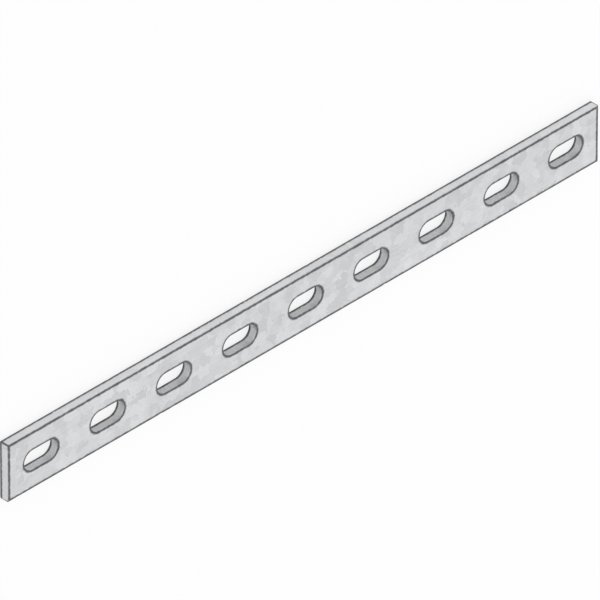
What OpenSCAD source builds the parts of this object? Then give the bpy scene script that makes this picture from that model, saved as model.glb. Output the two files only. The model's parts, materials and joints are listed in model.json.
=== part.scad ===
// Cable support bar: one length of flat steel bar with a row of punched slots down its middle.
// It lies flat on its back face. X runs along the bar, Y across it and Z up through it,
// and the origin is under the middle of the bar.

/* [Bar] */
// Number of slots in the row, which with their pitch sets the length
slot_count = 9; // [2:1:60]
// Distance between the centres of neighbouring slots
slot_pitch = 50.8; // [38:0.1:80]
// Distance from each cut end to the centre of its nearest slot
end_margin = 25.4; // [18:0.1:60]
// Width of the flat bar
bar_width = 38.1; // [25:0.1:60]
// Thickness of the flat bar
bar_thickness = 6.35; // [4.5:0.05:12]
// Radius that the rolling mill leaves on the four long edges
edge_radius = 0.8; // [0.2:0.1:1.5]
// Bevel that deburring leaves round the two cut ends
end_bevel = 0.4; // [0.1:0.05:1]

/* [Slots] */
// Length of a slot from round end to round end, along the bar
slot_length = 25.4; // [16:0.1:34]
// Width of a slot across the bar
slot_width = 12.7; // [8:0.1:20]
// Radius at the slot's upper edge, where the punch drew the metal down
draw_radius = 0.6; // [0.2:0.05:1]
// Depth below the upper face at which that rounding ends
draw_depth = 0.55; // [0.15:0.05:0.6]
// Height above the lower face up to which the metal tore ahead of the punch
tear_height = 2.8; // [0.5:0.1:3.4]
// How far the torn wall stands back from the punched wall at the lower face
tear_flare = 0.35; // [0.05:0.05:0.8]

/* [Hidden] */

steel_colour = [0.82, 0.83, 0.84];
bar_length = 2 * end_margin + (slot_count - 1) * slot_pitch;
slot_radius = slot_width / 2;
straight_length = slot_length - slot_width;
// How far a cutting shape reaches past the faces that it cuts
overshoot = 1;

// Centre of a slot along the bar, counted from the left end
function slot_x(i) = (i - (slot_count - 1) / 2) * slot_pitch;

// Rectangle about the origin with round corners
module rounded_rectangle(size, radius) {
    square([size.x - 2 * radius, size.y], center = true);
    square([size.x, size.y - 2 * radius], center = true);
    for (x = [-1, 1], y = [-1, 1])
        translate([x * (size.x / 2 - radius), y * (size.y / 2 - radius)])
            circle(r = radius, $fn = 48);
}

// Rectangle about the origin with its corners bevelled at 45 degrees
module bevelled_rectangle(size, bevel) {
    half = size / 2;
    polygon([
        [half.x, half.y - bevel], [half.x - bevel, half.y],
        [bevel - half.x, half.y], [-half.x, half.y - bevel],
        [-half.x, bevel - half.y], [bevel - half.x, -half.y],
        [half.x - bevel, -half.y], [half.x, bevel - half.y]
    ]);
}

// The bar before punching: what the rolled section, the plan and the side view have in common
module bar_blank() {
    intersection() {
        rotate([90, 0, 90])
            linear_extrude(bar_length, center = true)
                rounded_rectangle([bar_width, bar_thickness], edge_radius);
        linear_extrude(bar_thickness + 2 * overshoot, center = true)
            bevelled_rectangle([bar_length, bar_width + 2 * overshoot], end_bevel + overshoot);
        rotate([90, 0, 0])
            linear_extrude(bar_width + 2 * overshoot, center = true)
                bevelled_rectangle([bar_length, bar_thickness], end_bevel);
    }
}

// Half of the hole's section, from its middle out to the wall, with the lower face at height 0.
// From the bottom up: the torn wall leaning in, the straight punched wall and the drawn-in edge.
module slot_half_section() {
    draw_height = bar_thickness - draw_depth;
    tear_lean = tear_flare / tear_height;
    difference() {
        polygon([
            [0, -overshoot],
            [slot_radius + tear_flare + overshoot * tear_lean, -overshoot],
            [slot_radius, tear_height],
            [slot_radius, draw_height],
            [slot_radius + draw_radius, draw_height],
            [slot_radius + draw_radius, bar_thickness + overshoot],
            [0, bar_thickness + overshoot]
        ]);
        translate([slot_radius + draw_radius, draw_height])
            circle(r = draw_radius, $fn = 48);
    }
}

// The metal that one stroke of the punch takes out: the section turned round both ends and drawn between them
module punched_slot() {
    for (side = [0, 180])
        rotate(side) {
            translate([straight_length / 2, 0])
                rotate(-90)
                    rotate_extrude(angle = 180, $fn = 96) slot_half_section();
            rotate([90, 0, 90])
                linear_extrude(straight_length, center = true) slot_half_section();
        }
}

module slotted_bar() {
    color(steel_colour)
        difference() {
            translate([0, 0, bar_thickness / 2]) bar_blank();
            for (i = [0 : slot_count - 1])
                translate([slot_x(i), 0]) punched_slot();
        }
}

slotted_bar();
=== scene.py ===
# %% [markdown]
# # A slotted cable support bar
#
# The part is one length of flat steel bar, zinc coated, with a row of round-ended slots punched down its
# middle. Cables are tied or clamped to it through the slots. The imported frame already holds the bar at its
# real size. This lesson gives it its looks: a finer surface over the same sizes, with the marks that
# rolling, punching and sawing leave on steel, then the zinc finish, a white floor, light and a camera.

# %% Load the frame
import json
import math

import bmesh
import bpy
import numpy as np
from mathutils import Matrix, Vector


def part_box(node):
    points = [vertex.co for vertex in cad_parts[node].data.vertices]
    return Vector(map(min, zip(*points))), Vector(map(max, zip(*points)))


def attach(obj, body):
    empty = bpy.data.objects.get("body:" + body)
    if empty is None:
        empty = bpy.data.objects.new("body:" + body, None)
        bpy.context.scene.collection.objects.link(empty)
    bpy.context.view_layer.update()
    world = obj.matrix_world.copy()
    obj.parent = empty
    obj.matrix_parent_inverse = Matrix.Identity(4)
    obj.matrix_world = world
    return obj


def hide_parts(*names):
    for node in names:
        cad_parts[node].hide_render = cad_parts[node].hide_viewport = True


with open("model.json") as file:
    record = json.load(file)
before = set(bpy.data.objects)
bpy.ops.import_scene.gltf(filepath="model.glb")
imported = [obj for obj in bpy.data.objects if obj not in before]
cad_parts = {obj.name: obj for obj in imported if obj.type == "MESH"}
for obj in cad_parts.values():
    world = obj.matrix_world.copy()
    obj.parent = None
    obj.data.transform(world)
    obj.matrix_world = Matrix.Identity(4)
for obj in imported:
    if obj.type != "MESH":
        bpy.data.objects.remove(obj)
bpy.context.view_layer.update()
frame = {"record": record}

# %% [markdown]
# ## Sizes
#
# The main sizes could be typed in again here, but then two files would hold them, and could disagree. So
# the bar's box comes from its node, and the slots from the record: the bolt mounts give a slot's length and
# half width, and the stated openings give the place of each slot. X runs along the bar, Y across it and Z
# up through it, and the bar lies on the floor at height 0. Lengths are in metres.

# %% Read the sizes
MM = 0.001

bar_low, bar_high = (np.array(corner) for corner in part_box("slotted_bar"))
bar_length, bar_width, bar_thickness = bar_high - bar_low
slot_dims = frame["record"]["mounts"][0]["dims"]
slot_radius = slot_dims["hole_r_mm"] * MM
# From the middle of a slot to the centre of either round end
slot_reach = slot_dims["slot_length_mm"] * MM / 2 - slot_radius
slot_boxes = np.array([opening["box_m"] for opening in frame["record"]["physics"]["openings"]])
slot_x = slot_boxes[:, :, 0].mean(axis=1)
slot_pitch = np.diff(slot_x).mean()
print(f"Bar {bar_length / MM:.1f} x {bar_width / MM:.1f} x {bar_thickness / MM:.2f} mm,",
      f"{len(slot_x)} slots {slot_pitch / MM:.1f} mm apart")

# %% [markdown]
# ## Camera
#
# The picture is an isometric drawing: the three edges of the bar are foreshortened alike, and parallel
# edges stay parallel. An orthographic camera would draw that exactly, but it can't be reframed for other
# views by its distance. A very long lens from far away comes within about a pixel and a half of it. The
# scale and the place in the picture are worked out from two measures there: the pixels from one slot to the
# next, and the pixel in the middle of the upper face.

# %% Make the camera
PICTURE_SIDE = 600
# Pixels between neighbouring slots, along the drawn bar
PICTURE_PITCH = 75.75
# Pixel at which the middle of the upper face lies, across and down
PICTURE_MIDDLE = (305.4, 301.7)
# From a pixel's corner to its own middle
HALF_PIXEL = 0.5
ISOMETRIC_SHORTENING = math.sqrt(2 / 3)
LENS_MM = 1500
SENSOR_MM = 36

# An isometric view looks along the diagonal of a cube, and level in it is the diagonal of a cube's side
toward_camera = Vector((-1, 1, 1)).normalized()
picture_right = Vector((1, 0, 1)).normalized()
picture_up = toward_camera.cross(picture_right)

pixels_per_metre = PICTURE_PITCH / (slot_pitch * ISOMETRIC_SHORTENING)
camera_distance = PICTURE_SIDE * LENS_MM / SENSOR_MM / pixels_per_metre
pixels_right = PICTURE_MIDDLE[0] + HALF_PIXEL - PICTURE_SIDE / 2
pixels_down = PICTURE_MIDDLE[1] + HALF_PIXEL - PICTURE_SIDE / 2
aim = Vector((0, 0, bar_thickness))
aim += (picture_up * pixels_down - picture_right * pixels_right) / pixels_per_metre

camera_data = bpy.data.cameras.new("camera")
camera_data.lens = LENS_MM
camera_data.sensor_width = SENSOR_MM
camera_data.clip_end = 2 * camera_distance
camera = bpy.data.objects.new("camera", camera_data)
camera_axes = Matrix((picture_right, picture_up, toward_camera)).transposed()
camera.matrix_world = Matrix.Translation(aim + toward_camera * camera_distance) @ camera_axes.to_4x4()
bpy.context.scene.collection.objects.link(camera)
bpy.context.scene.camera = camera
bpy.context.scene.view_settings.view_transform = "Standard"
print(f"Camera {camera_distance:.2f} m away, {pixels_per_metre:.0f} pixels a metre")

# %% [markdown]
# ## Shader nodes in plain calls
#
# A finish is a small graph of shader nodes. Adding nodes one by one takes many lines, so a few helpers do
# it: each adds one node, links the inputs that are sockets and sets those that are plain values.

# %% Helpers for shader nodes
def feed(tree, socket, value):
    """Links a socket to an input, or sets the input to a plain value."""
    if isinstance(value, bpy.types.NodeSocket):
        tree.links.new(value, socket)
    else:
        socket.default_value = value


def add_node(tree, kind, inputs, **settings):
    """Adds a node of a kind, with its properties from settings and its inputs by name or number."""
    node = tree.nodes.new("ShaderNode" + kind)
    for name, value in settings.items():
        setattr(node, name, value)
    for name, value in inputs.items():
        feed(tree, node.inputs[name], value)
    return node


def calculate(tree, operation, *values):
    """The result of one operation on numbers, such as ADD or MULTIPLY."""
    return add_node(tree, "Math", dict(enumerate(values)), operation=operation).outputs[0]


def new_material(name):
    """A material with an empty node tree, that tree and its output node."""
    material = bpy.data.materials.new(name)
    material.use_nodes = True
    material.node_tree.nodes.clear()
    output = material.node_tree.nodes.new("ShaderNodeOutputMaterial")
    return material, material.node_tree, output


print("Shader helpers ready")

# %% [markdown]
# ## Meshes from whole arrays
#
# Every surface below is a grid of points, worked out as one numpy array. A Python loop that adds one point
# after the other would do the same, only hundreds of times slower. Two helpers turn a grid into a mesh: one
# numbers the corners of its quads, and the other hands the arrays to Blender in one go.

# %% Helpers for meshes
def grid_quads(rows, columns):
    """Corner numbers of a grid's quads, for points stored row by row."""
    number = np.arange(rows * columns).reshape(rows, columns)
    corners = [number[:-1, :-1], number[1:, :-1], number[1:, 1:], number[:-1, 1:]]
    return np.stack(corners, axis=-1).reshape(-1, 4)


def mesh_object(name, points, quads):
    """A new mesh from an array of points and an array of quads, in an object at the origin."""
    mesh = bpy.data.meshes.new(name)
    mesh.vertices.add(len(points))
    mesh.vertices.foreach_set("co", points.astype(np.float32).ravel())
    mesh.loops.add(quads.size)
    mesh.loops.foreach_set("vertex_index", quads.astype(np.int32).ravel())
    mesh.polygons.add(len(quads))
    mesh.polygons.foreach_set("loop_start", np.arange(0, quads.size, 4, dtype=np.int32))
    mesh.update(calc_edges=True)
    thing = bpy.data.objects.new(name, mesh)
    bpy.context.scene.collection.objects.link(thing)
    return thing


print("Mesh helpers ready")

# %% [markdown]
# ## Floor
#
# The drawing has a plain white ground. A white floor under soft light renders light grey, and more light
# would wash out the steel. So the floor has two parts: a matt surface, which takes the bar's soft shadow,
# and a light of its own, which only the camera and the reflections in the steel see.

# %% Make the floor
FLOOR_REACH = 3.0
# Colour of the matt part, and strength of the floor's own light
FLOOR_MATT = (0.30, 0.30, 0.30, 1)
FLOOR_OWN_LIGHT = 0.73

floor_side = np.linspace(-FLOOR_REACH, FLOOR_REACH, 2)
floor_points = np.stack([*np.meshgrid(floor_side, floor_side, indexing="ij"), np.zeros((2, 2))], axis=-1)
floor = mesh_object("floor", floor_points.reshape(-1, 3), grid_quads(2, 2))

floor_finish, tree, output = new_material("white_floor")
path = add_node(tree, "LightPath", {}).outputs
seen = calculate(tree, "MAXIMUM", path["Is Camera Ray"], path["Is Glossy Ray"])
seen = calculate(tree, "MAXIMUM", seen, path["Is Transmission Ray"])
own_light = calculate(tree, "MULTIPLY", seen, FLOOR_OWN_LIGHT)
matt = add_node(tree, "BsdfDiffuse", {"Color": FLOOR_MATT}).outputs["BSDF"]
glow = add_node(tree, "Emission", {"Strength": own_light}).outputs["Emission"]
both = add_node(tree, "AddShader", {0: matt, 1: glow}).outputs["Shader"]
feed(tree, output.inputs["Surface"], both)
floor.data.materials.append(floor_finish)
print(f"Floor {2 * FLOOR_REACH:.0f} m square")

# %% [markdown]
# ## Light
#
# Steel shows its surroundings, so its light is a matter of what it mirrors. A single lamp would give one
# hot spot on dark metal. Instead one large softbox stands on the far side of the bar, where the broad face
# mirrors it to the camera. A second stands on the near side and a third hangs overhead, for views from
# behind and from above. The dimmer room between them shows in the rounded edges, which then stand out.

# %% Make the softboxes and the room
SOFTBOX_DISTANCE = 1.7
SIDE_SOFTBOX = {"side": 1.7, "radiance": 0.26}
OVERHEAD_SOFTBOX = {"side": 1.2, "radiance": 0.22}
ROOM_RADIANCE = 0.76


def softbox(name, direction, side, radiance):
    """A square lamp that faces the bar from a direction. Its power is radiance times pi times area."""
    data = bpy.data.lights.new(name, "AREA")
    data.shape = "SQUARE"
    data.size = side
    data.energy = radiance * math.pi * side**2
    lamp = bpy.data.objects.new(name, data)
    lamp.location = direction * SOFTBOX_DISTANCE
    lamp.rotation_mode = "QUATERNION"
    lamp.rotation_quaternion = direction.to_track_quat("Z", "Y")
    lamp.visible_camera = False
    bpy.context.scene.collection.objects.link(lamp)


mirrored = Vector((-toward_camera.x, -toward_camera.y, toward_camera.z))
softbox("far_softbox", mirrored, **SIDE_SOFTBOX)
softbox("near_softbox", toward_camera, **SIDE_SOFTBOX)
softbox("overhead_softbox", Vector((0, 0, 1)), **OVERHEAD_SOFTBOX)

room = bpy.data.worlds.new("room")
room.use_nodes = True
room_background = room.node_tree.nodes["Background"]
room_background.inputs["Color"].default_value = (1, 1, 1, 1)
room_background.inputs["Strength"].default_value = ROOM_RADIANCE
bpy.context.scene.world = room
print("Three softboxes and a dimmer room")

# %% [markdown]
# ## The path round a slot
#
# A slot is a straight run with a half circle at each end. Its outline is a path, and each mark of the
# punch follows it at a fixed distance. It could be put together from four pieces, but one formula over the
# length walked is shorter and has no joints: while the walk is on a straight run, the centre slides along
# the bar, and otherwise the direction turns.

# %% Walk round a slot
# Steps along the end and along the side of a cell, which is the stretch of bar that holds one slot
END_STEPS = 22
SIDE_STEPS = 44
AROUND_STEPS = 2 * (END_STEPS + SIDE_STEPS)

quarter_arc = math.pi * slot_radius / 2
straight_run = 2 * slot_reach
outline_length = 4 * quarter_arc + 2 * straight_run
# The walk starts part-way down the right-hand arc, so that even steps match the corners of the cell
walk_start = -outline_length / 4 * END_STEPS / (END_STEPS + SIDE_STEPS)
walked = walk_start + outline_length * np.linspace(0, 1, AROUND_STEPS + 1)


def slot_direction(walked):
    """Centre and outward direction on the outline, after a length walked from the right-hand tip.

    Lengths spent on the two straight runs slide the centre to the left and back. The rest, divided by the
    radius, is the angle turned.
    """
    upper_run = np.clip(walked - quarter_arc, 0, straight_run)
    lower_run = np.clip(walked - 3 * quarter_arc - straight_run, 0, straight_run)
    angle = (walked - upper_run - lower_run) / slot_radius
    centre_x = slot_reach - upper_run + lower_run
    return centre_x, np.cos(angle), np.sin(angle)


centre_x, out_x, out_y = slot_direction(walked)
print(f"Outline {outline_length / MM:.1f} mm long, {AROUND_STEPS} steps")

# %% [markdown]
# ## The wall of a slot
#
# A punch leaves the same marks in every hole. It first draws the upper edge down into an arc, then shears a
# smooth, straight band, and then the rest of the metal tears ahead of it, rough and slightly wider, down to
# the lower face. The line between the smooth and the torn band wanders. A slot cut with a boolean would
# have one plain wall. Here the wall is a profile of rings, each with a distance outside the outline and a
# height, carried round the path, so that every mark has rings of its own.

# %% The tear line
# Mean height of the line above the lower face, how far it wanders, and in how many waves
TEAR_HEIGHT = 2.8 * MM
TEAR_WANDER = 0.22 * MM
WANDER_WAVES = 9

dice = np.random.default_rng(seed=7)


def wandering_line():
    """Height of the tear line for each slot and step: the mean height and a sum of waves round the outline.

    Each wave fits a whole number of times round the slot and has its own phase, and finer waves are lower.
    """
    order = np.arange(1, WANDER_WAVES + 1)
    phase = dice.uniform(0, 2 * np.pi, (len(slot_x), 1, WANDER_WAVES))
    turns = 2 * np.pi * order * (walked[:, None] / outline_length)
    waves = np.sin(turns + phase) / np.sqrt(order)
    return TEAR_HEIGHT + TEAR_WANDER * waves.sum(axis=2) / math.sqrt(WANDER_WAVES)


tear_line = wandering_line()[:, :, None]
print(f"Tear line {tear_line.min() / MM:.1f} to {tear_line.max() / MM:.1f} mm above the lower face")

# %% Rings of the wall
# Radius of the arc at the upper edge, and how far down it reaches
DRAW_RADIUS = 0.6 * MM
DRAW_DEPTH = 0.55 * MM
# How far the torn wall has spread at the lower face, and the rounding of its lower edge within that
TEAR_FLARE = 0.35 * MM
BREAK_RADIUS = 0.15 * MM
# Rings of the arc, the sheared band, the torn band and its lower edge
DRAW_RINGS, LAND_RINGS, TEAR_RINGS, BREAK_RINGS = 6, 4, 8, 3
# Shares of the way from the slot to the cell's border, close together where the surface starts to bend
FACE_SHARES = np.array([0, 0.015, 0.04, 0.08, 0.14, 0.23, 0.34, 0.47, 0.61, 0.75, 0.87, 0.95, 0.985, 1])


def steps(count):
    """Even shares from above 0 up to 1, for rings that follow on from the ring before them."""
    return np.arange(1, count + 1) / count


draw, land, tear, edge = (steps(count) for count in (DRAW_RINGS, LAND_RINGS, TEAR_RINGS, BREAK_RINGS))
quarter_turn = np.pi / 2
land_top = bar_thickness - DRAW_DEPTH
# The drawn-in arc starts where its circle meets the upper face, and ends at angle 0, on the straight wall
draw_start_angle = math.asin(DRAW_DEPTH / DRAW_RADIUS)
draw_angle = draw_start_angle * (1 - draw)
rim_outside = DRAW_RADIUS * (1 - math.cos(draw_start_angle))
torn_outside = TEAR_FLARE - BREAK_RADIUS
# Spreads a ring that has one height all round over the slots and steps
level = np.ones_like(tear_line)

ring_share = np.concatenate([
    FACE_SHARES[::-1],
    np.zeros(DRAW_RINGS + LAND_RINGS + TEAR_RINGS + BREAK_RINGS),
    FACE_SHARES[1:],
])
ring_outside = np.concatenate([
    np.full(len(FACE_SHARES), rim_outside),
    DRAW_RADIUS * (1 - np.cos(draw_angle)),
    np.zeros(LAND_RINGS),
    torn_outside * tear,
    torn_outside + BREAK_RADIUS * (1 - np.cos(edge * quarter_turn)),
    np.full(len(FACE_SHARES) - 1, TEAR_FLARE),
])
ring_height = np.concatenate([
    level * np.full(len(FACE_SHARES), bar_thickness),
    level * (land_top + DRAW_RADIUS * np.sin(draw_angle)),
    land_top + (tear_line - land_top) * land,
    tear_line + (BREAK_RADIUS - tear_line) * tear,
    level * BREAK_RADIUS * (1 - np.sin(edge * quarter_turn)),
    level * np.zeros(len(FACE_SHARES) - 1),
], axis=2)
print(f"{len(ring_share)} rings from the upper face to the lower one")

# %% [markdown]
# ## Marks that the finish can read
#
# The finish has to know where the steel is sheared, torn or sawn. A texture painted by place would need a
# picture. Instead each ring says what it is, and the mesh carries that as an attribute of its points: a
# number from 0 to 1 for each kind of surface.

# %% Marks of the rings
MARKS = ("sheared_wall", "torn_wall", "cut_end")
SHEARED, TORN, CUT = range(len(MARKS))

draw_start = len(FACE_SHARES)
land_start = draw_start + DRAW_RINGS
tear_start = land_start + LAND_RINGS
edge_start = tear_start + TEAR_RINGS
lower_start = edge_start + BREAK_RINGS
ring_marks = np.zeros((len(ring_share), len(MARKS)))
ring_marks[land_start:tear_start, SHEARED] = 1
ring_marks[tear_start:edge_start, TORN] = 1
ring_marks[edge_start:lower_start, TORN] = 1 - edge
print("Marks:", ", ".join(MARKS))

# %% [markdown]
# ## Cells of the bar
#
# The bar is a row of cells, each with a slot. Holes cut into one large plate leave long, thin triangles
# that shade badly. So a cell is one surface over two parameters, the walk round the slot and the ring. On
# the faces, a ring lies between the slot's outline and the cell's border, by its share of the way. On the
# wall the share is 0. Neighbouring cells share their border points.

# %% Points of the cells
# Rounding of the long edges, and bevel of the sawn ends
EDGE_RADIUS = 0.8 * MM
END_BEVEL = 0.4 * MM
# Spread of the torn wall's roughness
TEAR_ROUGHNESS = 0.035 * MM

cell_walls = (slot_x[:-1] + slot_x[1:]) / 2
end_x = bar_length / 2 - END_BEVEL
cell_left = np.concatenate([[-end_x], cell_walls])
cell_right = np.concatenate([cell_walls, [end_x]])
flat_half = bar_width / 2 - EDGE_RADIUS


def unit_border():
    """A closed walk round a square from -1 to 1, from its lower right corner, with even steps on a side."""
    up = np.linspace(-1, 1, END_STEPS, endpoint=False)
    back = np.linspace(1, -1, SIDE_STEPS, endpoint=False)
    along = np.concatenate([np.ones(END_STEPS), back, -np.ones(END_STEPS), -back])
    across = np.concatenate([up, np.ones(SIDE_STEPS), -up, -np.ones(SIDE_STEPS)])
    return np.append(along, along[0]), np.append(across, across[0])


def slot_cells():
    """Points of all the cells, by slot, step and ring.

    A point is (1 - share) times the outline moved outwards, plus share times the cell's border. On torn
    rings the distance outwards has a little noise of its own.
    """
    along, across = unit_border()
    middle, half = (cell_left + cell_right) / 2, (cell_right - cell_left) / 2
    border_x = (middle[:, None] + half[:, None] * along)[:, :, None]
    border_y = (flat_half * across)[None, :, None]
    rough = dice.normal(0, TEAR_ROUGHNESS, ring_height.shape) * ring_marks[:, TORN]
    rough[:, -1] = rough[:, 0]
    outside = slot_radius + ring_outside + rough
    outline_x = slot_x[:, None, None] + centre_x[None, :, None] + out_x[None, :, None] * outside
    outline_y = out_y[None, :, None] * outside
    x = (1 - ring_share) * outline_x + ring_share * border_x
    y = (1 - ring_share) * outline_y + ring_share * border_y
    return np.stack([x, y, ring_height], axis=-1)


cell_points = slot_cells()
print(f"{len(slot_x)} cells of {AROUND_STEPS} by {len(ring_share) - 1} quads")

# %% [markdown]
# ## Long edges
#
# Hot rolling leaves the long edges of flat bar rounded. A Bevel modifier would round the slots' edges too.
# So each edge strip is a profile, an arc, a straight side and another arc, carried along the bar. Its
# stations are the cells' own border points, so that the strip closes against them without a gap.

# %% Points of the long edges
ARC_STEPS = 6
SIDE_RINGS = 8

stations = np.linspace(cell_left, cell_right, SIDE_STEPS + 1, axis=1)


def edge_profile():
    """Distance from the middle line and height round one long edge, from the upper face to the lower one.

    Two quarter circles of the edge radius, with a straight side between them. The heights on the side
    follow a cosine, so that they lie closer together near the arcs.
    """
    turn = np.linspace(0, quarter_turn, ARC_STEPS + 1)
    arc_out, arc_drop = EDGE_RADIUS * np.sin(turn), EDGE_RADIUS * (1 - np.cos(turn))
    side_half = bar_thickness / 2 - EDGE_RADIUS
    side = bar_thickness / 2 + side_half * np.cos(np.linspace(0, np.pi, SIDE_RINGS + 1)[1:-1])
    side_out = np.full(len(side), bar_width / 2)
    out = np.concatenate([flat_half + arc_out, side_out, flat_half + arc_out[::-1]])
    height = np.concatenate([bar_thickness - arc_drop, side, arc_drop[::-1]])
    return out, height


def long_edge(side):
    """Points of one edge strip, by cell, station and profile point. Side is -1 or 1, across the bar."""
    out, height = edge_profile()
    return np.stack(np.broadcast_arrays(stations[:, :, None], side * out, height), axis=-1)


edge_points = np.concatenate([long_edge(-1), long_edge(1)])
print(f"{len(edge_points)} edge strips of {SIDE_STEPS} by {edge_points.shape[2] - 1} quads")

# %% [markdown]
# ## Cut ends
#
# The bar is sawn to length, and the sharp rim is taken off. One flat polygon would close an end, but it has
# no points inside that could carry marks. So each end is a grid over the bar's section: columns across the
# bar, with the edge profile itself as the outermost columns. The rim of that grid, drawn out to the cells
# and edge strips, makes the rounded bevel.

# %% Points of the cut ends
BEVEL_RINGS = 3

edge_out, edge_height = edge_profile()
section_y = np.concatenate([[-1], np.linspace(-1, 1, END_STEPS + 1), [1]])[:, None] * flat_half
section_y = np.repeat(section_y, len(edge_out), axis=1)
section_y[0], section_y[-1] = -edge_out, edge_out
section_z = np.broadcast_to(edge_height, section_y.shape)


def inset_section(y, z, inset):
    """The section drawn in towards its middle, so that each side moves in by the inset."""
    middle = bar_thickness / 2
    return y * (1 - inset / (bar_width / 2)), middle + (z - middle) * (1 - inset / middle)


def rim_of(grid):
    """The border of a grid as one closed walk."""
    return np.concatenate([grid[:-1, 0], grid[-1, :-1], grid[:0:-1, -1], grid[0, ::-1]])


def cut_end(side):
    """Points of one end: the bevel's rings, from the bar's skin to the cut, and the grid of the cut itself.

    Ring number n of the bevel stands at an angle between 0 and 90 degrees: its inset is the bevel times 1
    less the cosine, and it reaches out by the bevel times the sine.
    """
    turn = np.linspace(0, quarter_turn, BEVEL_RINGS + 1)[:, None]
    rim_y, rim_z = inset_section(rim_of(section_y), rim_of(section_z), END_BEVEL * (1 - np.cos(turn)))
    rim_x = np.broadcast_to(side * (end_x + END_BEVEL * np.sin(turn)), rim_y.shape)
    face_y, face_z = inset_section(section_y, section_z, END_BEVEL)
    face_x = np.full(face_y.shape, side * bar_length / 2)
    return np.stack([rim_x, rim_y, rim_z], axis=-1), np.stack([face_x, face_y, face_z], axis=-1)


ends = [cut_end(side) for side in (-1, 1)]
print(f"{len(ends)} ends, each with a rim of {len(rim_of(section_y)) - 1} steps")

# %% [markdown]
# ## A flat layout
#
# A finish can be stored as a picture only if the skin is also laid out flat, as the sheet of a paper model
# is. Blender can do that by itself, but it keeps a long face whole, and then one strip as long as the bar
# sets the scale of everything. Here each cell is a piece of its own. A face is laid out as it lies, and a
# strip by the lengths along and across it. The pieces stand in rows, like books.

# %% Lay out each piece
NO_MARKS = np.zeros(len(MARKS))
END_MARKS = np.zeros(len(MARKS))
END_MARKS[CUT] = 1

# Points, flat layout and marks of each piece
pieces = []


def walked_lengths(line):
    """Length walked from the start of a line of points to each of its points."""
    return np.append(0, np.cumsum(np.linalg.norm(np.diff(line, axis=0), axis=1)))


def unrolled(points):
    """Flat layout of a strip: the length walked along its first column, and along its first row."""
    lengths = np.meshgrid(walked_lengths(points[:, 0]), walked_lengths(points[0]), indexing="ij")
    return np.stack(lengths, axis=-1)


def lay(points, flat, marks=NO_MARKS):
    """Adds a grid of points to the pieces, with its flat layout and its marks spread over the grid."""
    spread = np.broadcast_to(marks, points.shape[:2] + (len(MARKS),))
    pieces.append((points, flat - flat.min(axis=(0, 1)), spread))


upper_rings = slice(draw_start)
wall_rings = slice(draw_start - 1, lower_start)
lower_rings = slice(lower_start - 1, None)
for rings in (upper_rings, lower_rings):
    for points in cell_points[:, :, rings]:
        lay(points, points[:, :, :2], ring_marks[rings])
for points in cell_points[:, :, wall_rings]:
    lay(points, unrolled(points), ring_marks[wall_rings])
for points in edge_points:
    lay(points, unrolled(points))
for rim, face in ends:
    rim = rim.transpose(1, 0, 2)
    lay(rim, unrolled(rim))
    lay(face, face[:, :, 1:], END_MARKS)
print(f"{len(pieces)} pieces laid out flat")

# %% Set the pieces in rows
LAYOUT_GAP = 1.0 * MM
LAYOUT_COLUMNS = 5


def rows_of_pieces(sizes, row_width):
    """Lower left corner of each piece, set side by side in rows, and the height of all the rows."""
    corners = []
    corner = np.array([LAYOUT_GAP, LAYOUT_GAP])
    row_height = 0
    for size in sizes:
        if corner[0] + size[0] > row_width:
            corner = np.array([LAYOUT_GAP, corner[1] + row_height + LAYOUT_GAP])
            row_height = 0
        corners.append(corner)
        corner = corner + [size[0] + LAYOUT_GAP, 0]
        row_height = max(row_height, size[1])
    return corners, corner[1] + row_height + LAYOUT_GAP


layout_width = LAYOUT_COLUMNS * (slot_pitch + LAYOUT_GAP) + LAYOUT_GAP
piece_sizes = [flat.max(axis=(0, 1)) for points, flat, marks in pieces]
corners, layout_height = rows_of_pieces(piece_sizes, layout_width)
print(f"A sheet of {layout_width / MM:.0f} by {layout_height / MM:.0f} mm")

# %% [markdown]
# ## One closed skin
#
# The pieces meet at shared points. They could stay separate and only look whole, but a single piece of steel
# has one closed skin. So they are joined into one mesh, and the doubled points are merged. The script counts
# the edges that don't have exactly two faces: a closed skin has none.

# %% Sew the pieces together
WELD_DISTANCE = 0.001 * MM
# The name of the piece's own flat layout
LAYOUT_NAME = "OFBake"

all_points = np.concatenate([points.reshape(-1, 3) for points, flat, marks in pieces])
all_marks = np.concatenate([marks.reshape(-1, len(MARKS)) for points, flat, marks in pieces])
all_flat = np.concatenate([
    (flat + corner).reshape(-1, 2) for (points, flat, marks), corner in zip(pieces, corners)
]) / [layout_width, layout_height]
grids = [points.shape[:2] for points, flat, marks in pieces]
firsts = np.cumsum([0] + [rows * columns for rows, columns in grids])
all_quads = np.concatenate([first + grid_quads(*grid) for first, grid in zip(firsts, grids)])

bar = mesh_object("slotted_steel_bar", all_points, all_quads)
for number, name in enumerate(MARKS):
    attribute = bar.data.attributes.new(name, "FLOAT", "POINT")
    attribute.data.foreach_set("value", all_marks[:, number].astype(np.float32))
layout = bar.data.uv_layers.new(name=LAYOUT_NAME)
layout.data.foreach_set("uv", all_flat[all_quads.ravel()].astype(np.float32).ravel())

skin = bmesh.new()
skin.from_mesh(bar.data)
bmesh.ops.remove_doubles(skin, verts=skin.verts, dist=WELD_DISTANCE)
bmesh.ops.recalc_face_normals(skin, faces=skin.faces)
open_edges = sum(len(line.link_faces) != 2 for line in skin.edges)
volume = skin.calc_volume(signed=True)
skin.to_mesh(bar.data)
skin.free()
print(f"Skin of {len(bar.data.polygons)} faces, {open_edges} open edges, {volume / MM**3:.0f} mm3")
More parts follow.
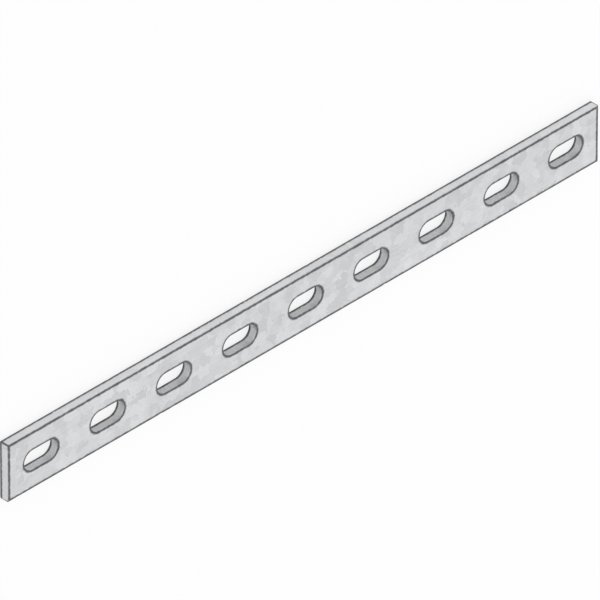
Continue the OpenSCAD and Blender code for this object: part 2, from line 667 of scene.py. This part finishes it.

# %% [markdown]
# ## How far each point lies from an edge
#
# The drawing has a dark line along every edge. A worn coat is darker along its edges too, though seldom as
# much, so most of this line is painted shade: it stands for the dark that the rounded edges mirror and,
# along the lower edges, for the shadow where the bar meets the floor. The line lies a little uphill from its
# edge, so that it also shows where the surface below the edge is turned away. The finish needs the distance
# from the line. Blender can look for edges while it renders, but here the shape is known, so a formula does
# it: a walk over the edge is 0 at the edge itself, more on the surface above it and less on the surface
# below it.

# %% Measure the distance to the edges
# How far uphill a dark line lies, along the bar's round edges and along the sharper rims of the slots
EDGE_LIFT = 0.95 * MM
RIM_LIFT = 0.6 * MM


def line_distance(uphill, downhill, lift):
    """Distance from a line that lies uphill from an edge by the lift.

    Uphill is how far a point has come from the edge on the surface above it, and downhill on the surface
    below it. The walk is the one less the other. A point that is far along both is on a third surface, so
    it is at least as far from the line as the smaller of the two.
    """
    walk = uphill - downhill
    return np.maximum(abs(walk - lift), np.minimum(uphill, downhill))


def nearer_line(height, beside, lift):
    """Distance from the nearer of the lines at the upper and the lower edge of a side or slot wall.

    Beside is the distance from that side or wall. Uphill from its upper edge is in along the upper face,
    and uphill from its lower edge is up the side or wall itself.
    """
    upper = line_distance(beside, bar_thickness - height, lift)
    lower = line_distance(height, beside, lift)
    return np.minimum(upper, lower)


def edge_distance(points):
    """Distance of each point from the nearest dark line.

    Inside is how deep a point lies in the bar's box, along its length and width. The smaller of the two is
    its distance from the nearest side or end. The larger is its distance from the nearest upright edge,
    where a side meets an end.
    """
    inside = (bar_high - bar_low)[:2] / 2 - abs(points - (bar_high + bar_low) / 2)[:, :2]
    past_centre = abs(points[:, :1] - slot_x).min(axis=1) - slot_reach
    outside_slot = np.hypot(past_centre.clip(0), points[:, 1]) - slot_radius
    outer = nearer_line(points[:, 2], inside.min(axis=1), EDGE_LIFT)
    rim = nearer_line(points[:, 2], outside_slot, RIM_LIFT)
    return np.min([outer, rim, inside.max(axis=1)], axis=0)


skin_points = np.empty(3 * len(bar.data.vertices), np.float32)
bar.data.vertices.foreach_get("co", skin_points)
skin_points = skin_points.reshape(-1, 3).astype(float)
edge_gap = edge_distance(skin_points) / MM
attribute = bar.data.attributes.new("edge_gap_mm", "FLOAT", "POINT")
attribute.data.foreach_set("value", edge_gap.astype(np.float32))
print(f"Points lie up to {edge_gap.max():.1f} mm from a dark line")

# %% [markdown]
# ## Handling marks
#
# Bar stock is rolled, bundled and dragged about, so its faces are never quite flat and its edges have small
# dents. A brush could sculpt them, but a formula gives the same dents on every run. Both are moves of the
# points along their normals, worked out for all points at once: long low waves for the rolling, and a soft
# dip around each of a few dozen places on the edges. All moves go inwards, so the bar stays in its box.

# %% Waves and dents
WAVE_COUNT = 14
WAVE_LENGTHS = (9 * MM, 45 * MM)
WAVE_DEPTH = 0.012 * MM
DENT_COUNT = 46
DENT_RADII = (0.7 * MM, 1.5 * MM)
DENT_DEPTHS = (0.04 * MM, 0.14 * MM)
# More dents are on the upper edges than on the lower ones
LOWER_SHARE, UPPER_SHARE = 0.3, 0.7


def rolling_waves(points):
    """Depth of the rolling waves: plane waves in many directions of the face, summed, and 0 at the top."""
    heading = dice.uniform(0, 2 * np.pi, WAVE_COUNT)
    pace = 2 * np.pi / dice.uniform(*WAVE_LENGTHS, WAVE_COUNT)
    phase = dice.uniform(0, 2 * np.pi, WAVE_COUNT)
    across = points[:, :1] * np.cos(heading) + points[:, 1:2] * np.sin(heading)
    total = np.sin(across * pace + phase).sum(axis=1)
    return WAVE_DEPTH * (total - total.max()) / math.sqrt(WAVE_COUNT)


def edge_dents(points):
    """Depth of the dents: a bell curve of the distance from each place on the long edges, summed."""
    place = np.stack([
        dice.uniform(bar_low[0], bar_high[0], DENT_COUNT),
        dice.choice([-1, 1], DENT_COUNT) * bar_width / 2,
        dice.choice([0, 1], DENT_COUNT, p=[LOWER_SHARE, UPPER_SHARE]) * bar_thickness,
    ], axis=1)
    radius = dice.uniform(*DENT_RADII, DENT_COUNT)
    depth = dice.uniform(*DENT_DEPTHS, DENT_COUNT)
    gap = np.linalg.norm(points[:, None, :] - place, axis=2)
    return -(depth * np.exp(-((gap / radius) ** 2))).sum(axis=1)


normals = np.empty(skin_points.size, np.float32)
bar.data.vertex_normals.foreach_get("vector", normals)
normals = normals.reshape(-1, 3)
depth = rolling_waves(skin_points) + edge_dents(skin_points)
marked_points = skin_points + normals * depth[:, None]
bar.data.vertices.foreach_set("co", marked_points.astype(np.float32).ravel())
print(f"Deepest mark {-depth.min() / MM:.2f} mm")

# %% [markdown]
# ## Smooth shading
#
# The arcs of the edges and rims are made of short flat steps. Smooth shading blends the light over them, and
# on the real bar they are round. Only where two faces meet at a large angle does the edge stay crisp.

# %% Shade the skin
SHARP_ANGLE = math.radians(40)

bar.data.shade_smooth()
bar.data.set_sharp_from_angle(angle=SHARP_ANGLE)
bar.data.update()
print(f"Edges of more than {math.degrees(SHARP_ANGLE):.0f} degrees stay crisp")

# %% [markdown]
# ## Patterns
#
# Zinc, scratches and saw lines have fine patterns. A photo of them would repeat and show its seams, so they
# are worked out by noise nodes at each point that is rendered. All patterns read the object's own
# coordinates, in metres, so a pattern's scale is how often it repeats in a metre. Squeezed coordinates draw
# a pattern out: noise with 4 repeats along the bar and 800 across it is long streaks.

# %% Helpers for patterns
# Range in which most values of soft noise lie
NOISE_RANGE = (0.3, 0.7)
# A Mix node has sockets for each type of value under the same names, so its colours go by number
MIX_SHARE, MIX_FIRST, MIX_SECOND = 0, 6, 7
MIX_RESULT = 2


def rescale(tree, value, low, high, new_low=0.0, new_high=1.0):
    """Carries the range from low to high over to a new range, with no values outside it."""
    limits = {"From Min": low, "From Max": high, "To Min": new_low, "To Max": new_high}
    return add_node(tree, "MapRange", {"Value": value, **limits}).outputs["Result"]


def blend_colours(tree, share, first, second):
    """The first colour where share is 0 and the second where it is 1."""
    sides = {MIX_SHARE: share, MIX_FIRST: first, MIX_SECOND: second}
    return add_node(tree, "Mix", sides, data_type="RGBA").outputs[MIX_RESULT]


def weighted_sum(tree, weights, values):
    """The sum of values, each times its weight."""
    total = 0.0
    for weight, value in zip(weights, values):
        total = calculate(tree, "MULTIPLY_ADD", value, weight, total)
    return total


def stretch(tree, coordinates, repeats, turn=(0.0, 0.0, 0.0)):
    """Coordinates turned about the origin and scaled along each axis, to the repeats in a metre."""
    inputs = {"Vector": coordinates, "Scale": repeats, "Rotation": turn}
    return add_node(tree, "Mapping", inputs).outputs["Vector"]


def soft_noise(tree, coordinates, scale=1.0, detail=2.0, roughness=0.5):
    """Soft noise with a mean of 0.5."""
    inputs = {"Vector": coordinates, "Scale": scale, "Detail": detail, "Roughness": roughness}
    return add_node(tree, "TexNoise", inputs).outputs["Fac"]


def mark(tree, name):
    """One of the numbers that the mesh carries at its points."""
    return add_node(tree, "Attribute", {}, attribute_name=name).outputs["Fac"]


print("Pattern helpers ready")

# %% [markdown]
# ## Zinc crystals
#
# The coat was put on as liquid zinc, and as it set it grew crystals a few millimetres wide. Each reflects a
# little differently, and has fine feathers in a direction of its own. Plain noise has no borders like
# theirs. Cells of a Voronoi pattern have: each cell is a crystal, and its random colour gives both the
# crystal's tone and the turn of its feathers.

# %% Start the finish with its crystals
# Repeats in a metre, and for the feathers along them, across them and down through the bar
CRYSTALS = 150.0
FEATHERS = (90, 900, 300)
# How far the straight borders of the crystals are bent, and how often in a metre
BORDER_BEND = 6 * MM
BORDER_BENDS = 300.0
NOISE_MEAN = (0.5, 0.5, 0.5)


def zinc_crystals(tree, place):
    """A tone for each crystal, and its feathers.

    The place that the cells read is moved about by noise, less its mean, which bends their borders. The
    feathers are drawn-out noise that reads the place turned by the crystal's own angle.
    """
    noise = add_node(tree, "TexNoise", {"Vector": place, "Scale": BORDER_BENDS}).outputs["Color"]
    bend = add_node(tree, "VectorMath", {0: noise, 1: NOISE_MEAN}, operation="SUBTRACT").outputs[0]
    bend = add_node(tree, "VectorMath", {0: bend, "Scale": BORDER_BEND}, operation="SCALE").outputs[0]
    moved = add_node(tree, "VectorMath", {0: place, 1: bend}, operation="ADD").outputs[0]
    cells = add_node(tree, "TexVoronoi", {"Vector": moved, "Scale": CRYSTALS}).outputs
    chance = add_node(tree, "SeparateColor", {"Color": cells["Color"]}).outputs
    angle = calculate(tree, "MULTIPLY", chance["Green"], 2 * math.pi)
    turned = add_node(tree, "VectorRotate", {"Vector": place, "Angle": angle}, rotation_type="Z_AXIS")
    feathers = soft_noise(tree, stretch(tree, turned.outputs[0], FEATHERS), detail=3.0, roughness=0.6)
    return chance["Red"], feathers


zinc, tree, output = new_material("zinc_coated_steel")
place = add_node(tree, "TexCoord", {}).outputs["Object"]
crystal_tone, feathers = zinc_crystals(tree, place)
print(f"Crystals about {1 / CRYSTALS / MM:.0f} mm wide")

# %% [markdown]
# ## Rolling lines and scratches
#
# The rolls leave long fine lines in the steel, which show through the coat, and bundling leaves scratches.
# Each could be a thin strip of its own, but they are far too many. Drawn-out noise gives the lines. For the
# scratches, each cell of a drawn-out Voronoi pattern has a long thin heart, and a few cells keep theirs.

# %% Lines and scratches
# Repeats in a metre, along the lines or scratches, across them and down through the bar
ROLLING_LINES = (4, 800, 800)
SCRATCHES = (14, 420, 420)
# Distances from the heart of a cell at which a scratch starts to fade and at which it is gone
SCRATCH_FADE = (0.05, 0.13)
# Turn of each set of scratches from the bar's length, and the share of cells that keep theirs
SCRATCH_SETS = ((math.radians(14), 0.16), (math.radians(-31), 0.10))


def scratches(tree, place, turn, share):
    """Thin scratches in one direction, 1 on a scratch and 0 off it.

    In coordinates that are squeezed along the scratch, the surroundings of a Voronoi point are a long
    ellipse. Only the cells whose random colour stays under a limit keep theirs, so share thins them out.
    """
    cells = add_node(tree, "TexVoronoi", {
        "Vector": stretch(tree, place, SCRATCHES, (0, 0, turn)),
        "Scale": 1.0,
    }).outputs
    line = rescale(tree, cells["Distance"], *SCRATCH_FADE, 1.0, 0.0)
    chance = add_node(tree, "SeparateColor", {"Color": cells["Color"]}).outputs["Red"]
    kept = calculate(tree, "LESS_THAN", chance, share)
    return calculate(tree, "MULTIPLY", line, kept)


lines = soft_noise(tree, stretch(tree, place, ROLLING_LINES), detail=4.0, roughness=0.65)
scratched = calculate(tree, "MAXIMUM", *(scratches(tree, place, *each) for each in SCRATCH_SETS))
print(f"Rolling lines and {len(SCRATCH_SETS)} sets of scratches")

# %% [markdown]
# ## The grey of the coat
#
# Zinc is a light, slightly blue grey, and no two places have quite the same one. One flat grey would look
# like paint. So crystals, feathers, lines and slow clouds are summed, each with a weight, and the sum picks
# a grey between a deep and a pale one. Scratches lay fresh, bright zinc bare. In this light the long sides
# come out darker than the drawing has them, so the same bright grey is mixed in there too: that is painted
# light, not a paler coat.

# %% Mix the grey
DEEP_ZINC = (0.580, 0.587, 0.601, 1)
PALE_ZINC = (0.785, 0.792, 0.804, 1)
# The bright grey is fresh zinc in the scratches, and painted light on the long sides
BRIGHT_ZINC_AND_PAINTED_LIGHT = (0.84, 0.845, 0.855, 1)
# Repeats in a metre
CLOUDS = 16.0
# Weights of the crystals, feathers, lines and clouds, and the sums at which the grey is deepest and palest
TONE_WEIGHTS = (0.5, 0.6, 0.55, 0.35)
TONE_RANGE = (0.5, 1.5)
# How much of the bright zinc shows in a scratch, and how much painted light the same grey gives the long
# sides
SCRATCH_SHARE, SIDE_PAINTED_LIGHT = 0.5, 0.42

clouds = soft_noise(tree, place, CLOUDS, detail=3.0)
tone = weighted_sum(tree, TONE_WEIGHTS, (crystal_tone, feathers, lines, clouds))
tone = rescale(tree, tone, *TONE_RANGE)
colour = blend_colours(tree, tone, DEEP_ZINC, PALE_ZINC)
colour = blend_colours(tree, calculate(tree, "MULTIPLY", scratched, SCRATCH_SHARE), colour, BRIGHT_ZINC_AND_PAINTED_LIGHT)
# Painted light: the long sides are made paler, because this light leaves them darker than the broad face
across = add_node(tree, "SeparateXYZ", {"Vector": place}).outputs["Y"]
painted_side_light = rescale(tree, calculate(tree, "ABSOLUTE", across), flat_half, bar_width / 2, 0.0, SIDE_PAINTED_LIGHT)
colour = blend_colours(tree, painted_side_light, colour, BRIGHT_ZINC_AND_PAINTED_LIGHT)
print("Greys from", DEEP_ZINC[:3], "to", PALE_ZINC[:3])

# %% [markdown]
# ## The slot walls and the sawn ends
#
# The sheared band of a slot is streaked from top to bottom, and the torn band is dull and grainy. The sawn
# ends have fine bright lines, a little aslant, and their grey is paler than the steel's own: painted light
# that lifts the ends, which this light leaves darker. Each could be a material of its own, with a hard
# border between them. The marks on the mesh let one material hold all of them, and fade from one to the
# next.

# %% Colour the walls and ends
SHEARED_STEEL = (0.53, 0.535, 0.545, 1)
TORN_STEEL = (0.65, 0.653, 0.66, 1)
SAWN_STEEL_AND_PAINTED_LIGHT = (0.80, 0.804, 0.812, 1)
# Repeats in a metre, along the bar, across it and down through it
STREAKS = (1100, 1100, 60)
GRAINS = 1500.0
SAW_LINES = (1, 1500, 140)
SAW_SLANT = math.radians(9)
# Range of noise over which the saw lines go from none to full
SAW_RANGE = (0.35, 0.65)
# How much of its colour a band has at least, between the streaks or grains, and how much a saw line has
LEAST_SHEARED, LEAST_TORN = 0.55, 0.6
SAWN_SHARE = 0.5

streaks = soft_noise(tree, stretch(tree, place, STREAKS), detail=3.0)
sheared = calculate(tree, "MULTIPLY", mark(tree, "sheared_wall"),
                    rescale(tree, streaks, *NOISE_RANGE, LEAST_SHEARED, 1.0))
grains = soft_noise(tree, place, GRAINS, detail=4.0, roughness=0.7)
torn = calculate(tree, "MULTIPLY", mark(tree, "torn_wall"),
                 rescale(tree, grains, *NOISE_RANGE, LEAST_TORN, 1.0))
saw_lines = soft_noise(tree, stretch(tree, place, SAW_LINES, (SAW_SLANT, 0, 0)), detail=3.0)
sawn = calculate(tree, "MULTIPLY", mark(tree, "cut_end"), rescale(tree, saw_lines, *SAW_RANGE))

colour = blend_colours(tree, sheared, colour, SHEARED_STEEL)
colour = blend_colours(tree, torn, colour, TORN_STEEL)
# The saw lines' pale grey is partly painted light, which lifts the sawn ends
colour = blend_colours(tree, calculate(tree, "MULTIPLY", sawn, SAWN_SHARE), colour, SAWN_STEEL_AND_PAINTED_LIGHT)
print("Sheared, torn and sawn steel coloured")

# %% [markdown]
# ## Dark lines along the edges
#
# Thin tubes along the edges would give dark lines too, but they would stand proud of the steel. So the
# colour darkens instead: the distance that was measured says how dark it gets, for a little wear and much
# painted shade, and noise makes the border ragged, because a perfectly even line would look painted on.

# %% Darken the edges
WEAR_AND_PAINTED_SHADE = (0.06, 0.0613, 0.065, 1)
# Distances up to which the colour is darkest and from which it is untouched, with the noise added
WEAR_AND_SHADE_MM = (1.1, 1.95)
# Most that the noise adds to the distance, and its repeats in a metre
RAGGED_MM = 1.4
RAGGEDNESS = 420.0
# How much of the dark colour shows where the line is darkest
MOST_WEAR_AND_SHADE = 0.9

ragged = soft_noise(tree, place, RAGGEDNESS, detail=4.0, roughness=0.6)
gap = calculate(tree, "MULTIPLY_ADD", ragged, RAGGED_MM, mark(tree, "edge_gap_mm"))
wear_and_shade = rescale(tree, gap, *WEAR_AND_SHADE_MM, MOST_WEAR_AND_SHADE, 0.0)
# Painted shade: dark reflections on the rounded edges and the shadow where the bar meets the floor, with a
# little wear
colour = blend_colours(tree, wear_and_shade, colour, WEAR_AND_PAINTED_SHADE)
print("Edges darkened")

# %% [markdown]
# ## Shine and relief
#
# Zinc has a soft shine. Pale places are a little smoother than deep ones, and the torn wall is dull.
# Feathers, lines, scratches, grains and saw lines have a height too. Geometry that fine would take millions
# of faces, so their heights are summed, and a Bump node turns the sum into small tilts of the surface.

# %% Finish the steel
METALLIC = 0.92
# Roughness of the deepest grey, and how much the palest grey and the torn wall change it
BASE_ROUGHNESS = 0.50
PALE_CHANGE, TORN_CHANGE = -0.12, 0.22
# Weights of the feathers, lines, scratches, torn grains and saw lines in the height
RELIEF_WEIGHTS = (0.25, 0.35, -0.3, 1.6, 0.5)
RELIEF_STRENGTH = 0.6
RELIEF_HEIGHT = 0.05 * MM

roughness = calculate(tree, "MULTIPLY_ADD", tone, PALE_CHANGE, BASE_ROUGHNESS)
roughness = calculate(tree, "MULTIPLY_ADD", torn, TORN_CHANGE, roughness)
relief = weighted_sum(tree, RELIEF_WEIGHTS, (feathers, lines, scratched, torn, sawn))
bump = add_node(tree, "Bump", {"Strength": RELIEF_STRENGTH, "Distance": RELIEF_HEIGHT, "Height": relief})
steel = add_node(tree, "BsdfPrincipled", {
    "Base Color": colour,
    "Metallic": METALLIC,
    "Roughness": roughness,
    "Normal": bump.outputs["Normal"],
})
feed(tree, output.inputs["Surface"], steel.outputs["BSDF"])
bar.data.materials.append(zinc)
print(f"Finish of {len(tree.nodes)} nodes")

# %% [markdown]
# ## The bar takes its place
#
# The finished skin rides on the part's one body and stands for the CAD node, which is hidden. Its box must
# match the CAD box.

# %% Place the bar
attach(bar, "root")
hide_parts("slotted_bar")
